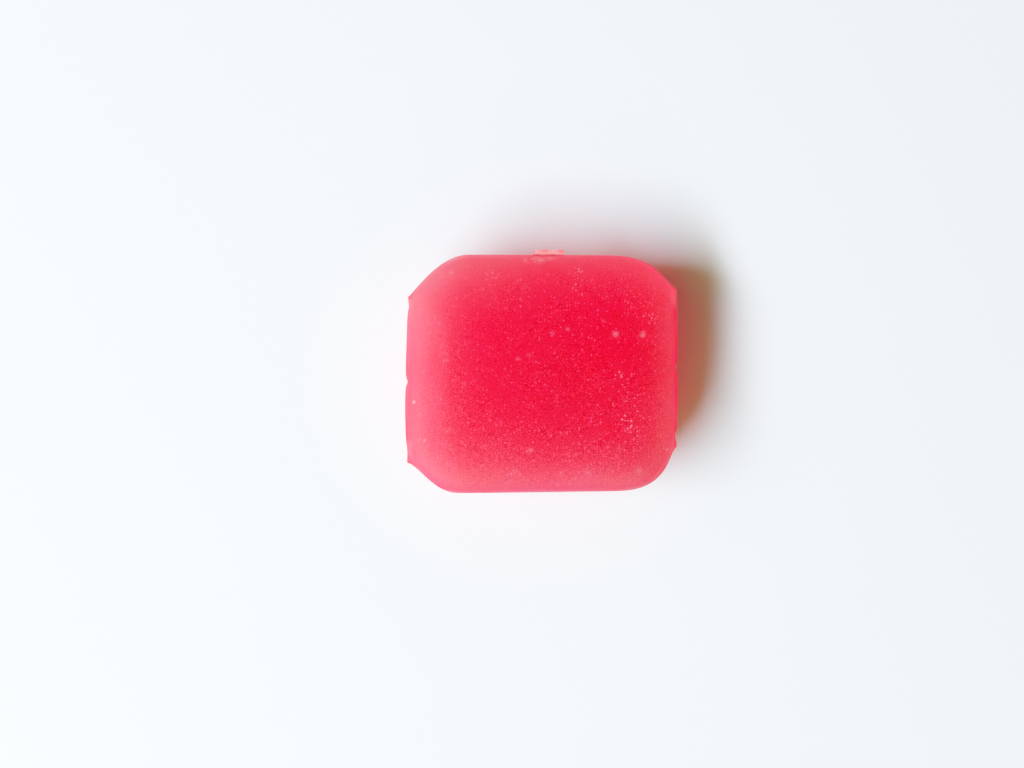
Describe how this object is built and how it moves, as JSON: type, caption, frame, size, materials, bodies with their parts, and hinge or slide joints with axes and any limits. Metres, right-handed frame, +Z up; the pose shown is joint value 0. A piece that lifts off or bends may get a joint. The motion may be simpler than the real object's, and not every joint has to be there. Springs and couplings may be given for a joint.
{
  "type": "mochi rice cake",
  "caption": "Soft rounded rectangular block of steamed mochi rice cake, with pillow-like ends, small corner ears at its seam and a short crumpled lip on the back.",
  "frame": {"origin": "centre of the bounding box, on the flat base", "axes": "+Z up, +X along the longer side, between the two pillow-like ends, +Y towards the back, which has the lip"},
  "size_m": [0.046, 0.0408, 0.0201],
  "materials": {
    "rice_cake": "moist satin, slightly translucent crimson pink, paler towards the edges"
  },
  "bodies": {
    "root": {"rice_cake": "rice_cake"}
  },
  "joints": []
}
